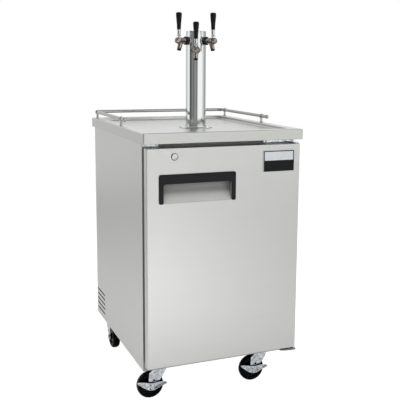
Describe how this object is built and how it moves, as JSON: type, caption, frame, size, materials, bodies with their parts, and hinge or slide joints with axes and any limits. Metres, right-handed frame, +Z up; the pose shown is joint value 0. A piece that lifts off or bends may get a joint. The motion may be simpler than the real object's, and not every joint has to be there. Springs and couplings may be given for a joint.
{
  "type": "kombucha kegerator",
  "caption": "Steel keg cooler on swivel casters, with a hinged locking door, a guard rail and a column whose lever taps pour kombucha.",
  "frame": {"origin": "on the floor, under the middle of the object's box", "axes": "+X to the right of someone who faces the door, +Y to the back, +Z up"},
  "size_m": [0.6, 0.74, 1.3895],
  "materials": {
    "brushed_stainless": "brushed stainless steel",
    "polished_chrome": "polished chrome",
    "galvanised_steel": "galvanised sheet steel",
    "zinc_plate": "bright zinc plate",
    "black_paint": "black enamel",
    "insulation": "rigid foam",
    "white_plastic": "moulded liner plastic",
    "black_plastic": "moulded black plastic",
    "grey_rubber": "soft gasket",
    "badge_silver": "silver and black plate without words",
    "bare_aluminium": "bare fins",
    "fan_plastic": "moulded fan",
    "caster_rubber": "black rubber tread"
  },
  "bodies": {
    "cabinet": {"worktop": "brushed_stainless", "face_frame": "brushed_stainless", "side_panel_left": "brushed_stainless", "side_panel_right": "brushed_stainless", "back_panel": "galvanised_steel", "rear_grille": "black_paint", "base_pan": "galvanised_steel", "insulation_foam": "insulation", "inner_liner": "white_plastic", "guard_rail": "brushed_stainless", "upper_hinge": "zinc_plate", "lower_hinge": "zinc_plate", "blank_plate": "zinc_plate", "compressor": "black_paint", "condenser": "bare_aluminium", "condenser_shroud": "black_paint", "power_inlet": "black_plastic", "evaporator_cover": "white_plastic", "tower_flange": "polished_chrome", "tower_column": "polished_chrome", "tower_cap": "polished_chrome", "shank_left": "polished_chrome", "shank_centre": "polished_chrome", "shank_right": "polished_chrome", "faucet_left": "polished_chrome", "faucet_centre": "polished_chrome", "faucet_right": "polished_chrome", "caster_plate_front_left": "zinc_plate", "caster_plate_front_right": "zinc_plate", "caster_plate_rear_left": "zinc_plate", "caster_plate_rear_right": "zinc_plate"},
    "door": {"door_panel": "brushed_stainless", "door_core": "insulation", "door_liner": "white_plastic", "door_gasket": "grey_rubber", "handle_scoop": "brushed_stainless", "handle_frame": "black_plastic", "badge_plate": "badge_silver", "lock_housing": "polished_chrome"},
    "lock": {"lock_plug": "polished_chrome"},
    "tap_left": {"lever_left": "polished_chrome", "tap_handle_left": "black_plastic"},
    "tap_centre": {"lever_centre": "polished_chrome", "tap_handle_centre": "black_plastic"},
    "tap_right": {"lever_right": "polished_chrome", "tap_handle_right": "black_plastic"},
    "caster_front_left": {"caster_fork_front_left": "zinc_plate"},
    "wheel_front_left": {"caster_wheel_front_left": "caster_rubber"},
    "brake_front_left": {"brake_pedal_front_left": "zinc_plate"},
    "caster_front_right": {"caster_fork_front_right": "zinc_plate"},
    "wheel_front_right": {"caster_wheel_front_right": "caster_rubber"},
    "brake_front_right": {"brake_pedal_front_right": "zinc_plate"},
    "caster_rear_left": {"caster_fork_rear_left": "zinc_plate"},
    "wheel_rear_left": {"caster_wheel_rear_left": "caster_rubber"},
    "caster_rear_right": {"caster_fork_rear_right": "zinc_plate"},
    "wheel_rear_right": {"caster_wheel_rear_right": "caster_rubber"},
    "condenser_fan": {"condenser_fan": "fan_plastic"},
    "evaporator_fan": {"evaporator_fan": "fan_plastic"},
    "thermostat": {"thermostat_knob": "black_plastic"}
  },
  "joints": [
    {"name": "door_hinge", "type": "hinge", "parent": "cabinet", "child": "door", "pos_m": [0.276, -0.352, 0.54], "axis": [0, 0, 1], "range_deg": [0, 115]},
    {"name": "lock_turn", "type": "hinge", "parent": "door", "child": "lock", "pos_m": [-0.189, -0.366, 0.896], "axis": [0, -1, 0], "range_deg": [0, 90]},
    {"name": "tap_left_lever", "type": "hinge", "parent": "cabinet", "child": "tap_left", "pos_m": [-0.07934, -0.09819, 1.292], "axis": [0.3859, -0.9225, 0], "range_deg": [0, 30]},
    {"name": "tap_centre_lever", "type": "hinge", "parent": "cabinet", "child": "tap_centre", "pos_m": [-0.03054, -0.14539, 1.258], "axis": [0.9348, -0.3551, 0], "range_deg": [0, 30]},
    {"name": "tap_right_lever", "type": "hinge", "parent": "cabinet", "child": "tap_right", "pos_m": [0.0373, -0.14249, 1.292], "axis": [0.9011, 0.4337, 0], "range_deg": [0, 30]},
    {"name": "swivel_front_left", "type": "hinge", "parent": "cabinet", "child": "caster_front_left", "pos_m": [-0.203, -0.248, 0.09], "axis": [0, 0, 1], "continuous": true},
    {"name": "wheel_front_left_spin", "type": "hinge", "parent": "caster_front_left", "child": "wheel_front_left", "pos_m": [-0.244, -0.248, 0.049], "axis": [0, -1, 0], "continuous": true},
    {"name": "brake_front_left_rock", "type": "hinge", "parent": "caster_front_left", "child": "brake_front_left", "pos_m": [-0.244, -0.248, 0.049], "axis": [0, 1, 0], "range_deg": [-15, 0]},
    {"name": "swivel_front_right", "type": "hinge", "parent": "cabinet", "child": "caster_front_right", "pos_m": [0.203, -0.248, 0.09], "axis": [0, 0, 1], "continuous": true},
    {"name": "wheel_front_right_spin", "type": "hinge", "parent": "caster_front_right", "child": "wheel_front_right", "pos_m": [0.162, -0.248, 0.049], "axis": [0, -1, 0], "continuous": true},
    {"name": "brake_front_right_rock", "type": "hinge", "parent": "caster_front_right", "child": "brake_front_right", "pos_m": [0.162, -0.248, 0.049], "axis": [0, 1, 0], "range_deg": [-15, 0]},
    {"name": "swivel_rear_left", "type": "hinge", "parent": "cabinet", "child": "caster_rear_left", "pos_m": [-0.244, 0.305, 0.09], "axis": [0, 0, 1], "continuous": true},
    {"name": "wheel_rear_left_spin", "type": "hinge", "parent": "caster_rear_left", "child": "wheel_rear_left", "pos_m": [-0.244, 0.264, 0.049], "axis": [1, 0, 0], "continuous": true},
    {"name": "swivel_rear_right", "type": "hinge", "parent": "cabinet", "child": "caster_rear_right", "pos_m": [0.244, 0.305, 0.09], "axis": [0, 0, 1], "continuous": true},
    {"name": "wheel_rear_right_spin", "type": "hinge", "parent": "caster_rear_right", "child": "wheel_rear_right", "pos_m": [0.244, 0.264, 0.049], "axis": [1, 0, 0], "continuous": true},
    {"name": "condenser_fan_spin", "type": "hinge", "parent": "cabinet", "child": "condenser_fan", "pos_m": [-0.19, 0.2625, 0.2473], "axis": [1, 0, 0], "continuous": true},
    {"name": "evaporator_fan_spin", "type": "hinge", "parent": "cabinet", "child": "evaporator_fan", "pos_m": [-0.08, 0.28, 0.702], "axis": [0, 1, 0], "continuous": true},
    {"name": "thermostat_turn", "type": "hinge", "parent": "cabinet", "child": "thermostat", "pos_m": [0.096, 0.25, 0.745], "axis": [0, 1, 0], "range_deg": [0, 270]}
  ]
}
